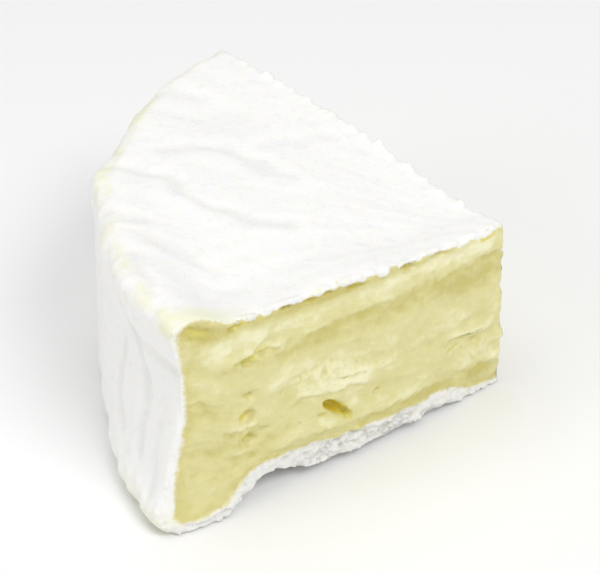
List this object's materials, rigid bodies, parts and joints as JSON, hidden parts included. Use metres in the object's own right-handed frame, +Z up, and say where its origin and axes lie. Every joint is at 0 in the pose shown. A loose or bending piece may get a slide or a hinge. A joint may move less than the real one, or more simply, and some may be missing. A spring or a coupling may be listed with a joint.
{
  "type": "camembert wedge",
  "caption": "Loose wedge of ripe camembert, about a quarter of a cheese, with white bloomy rind on top, base and round side and pale yellow paste on its cuts.",
  "frame": {"origin": "under the middle of the wedge's bounding box, on the surface that it stands on", "axes": "+Z up, +X towards the tip, the near cut with the paste on the -Y side and the far cut on the +Y side"},
  "size_m": [0.0532, 0.076, 0.0286],
  "materials": {
    "rind": "soft, velvety white mould rind, stood in for by paper",
    "paste": "moist, pale yellow ripened paste with a satin sheen, stood in for by plastic"
  },
  "bodies": {
    "root": {"camembert_wedge": "rind"}
  },
  "joints": []
}
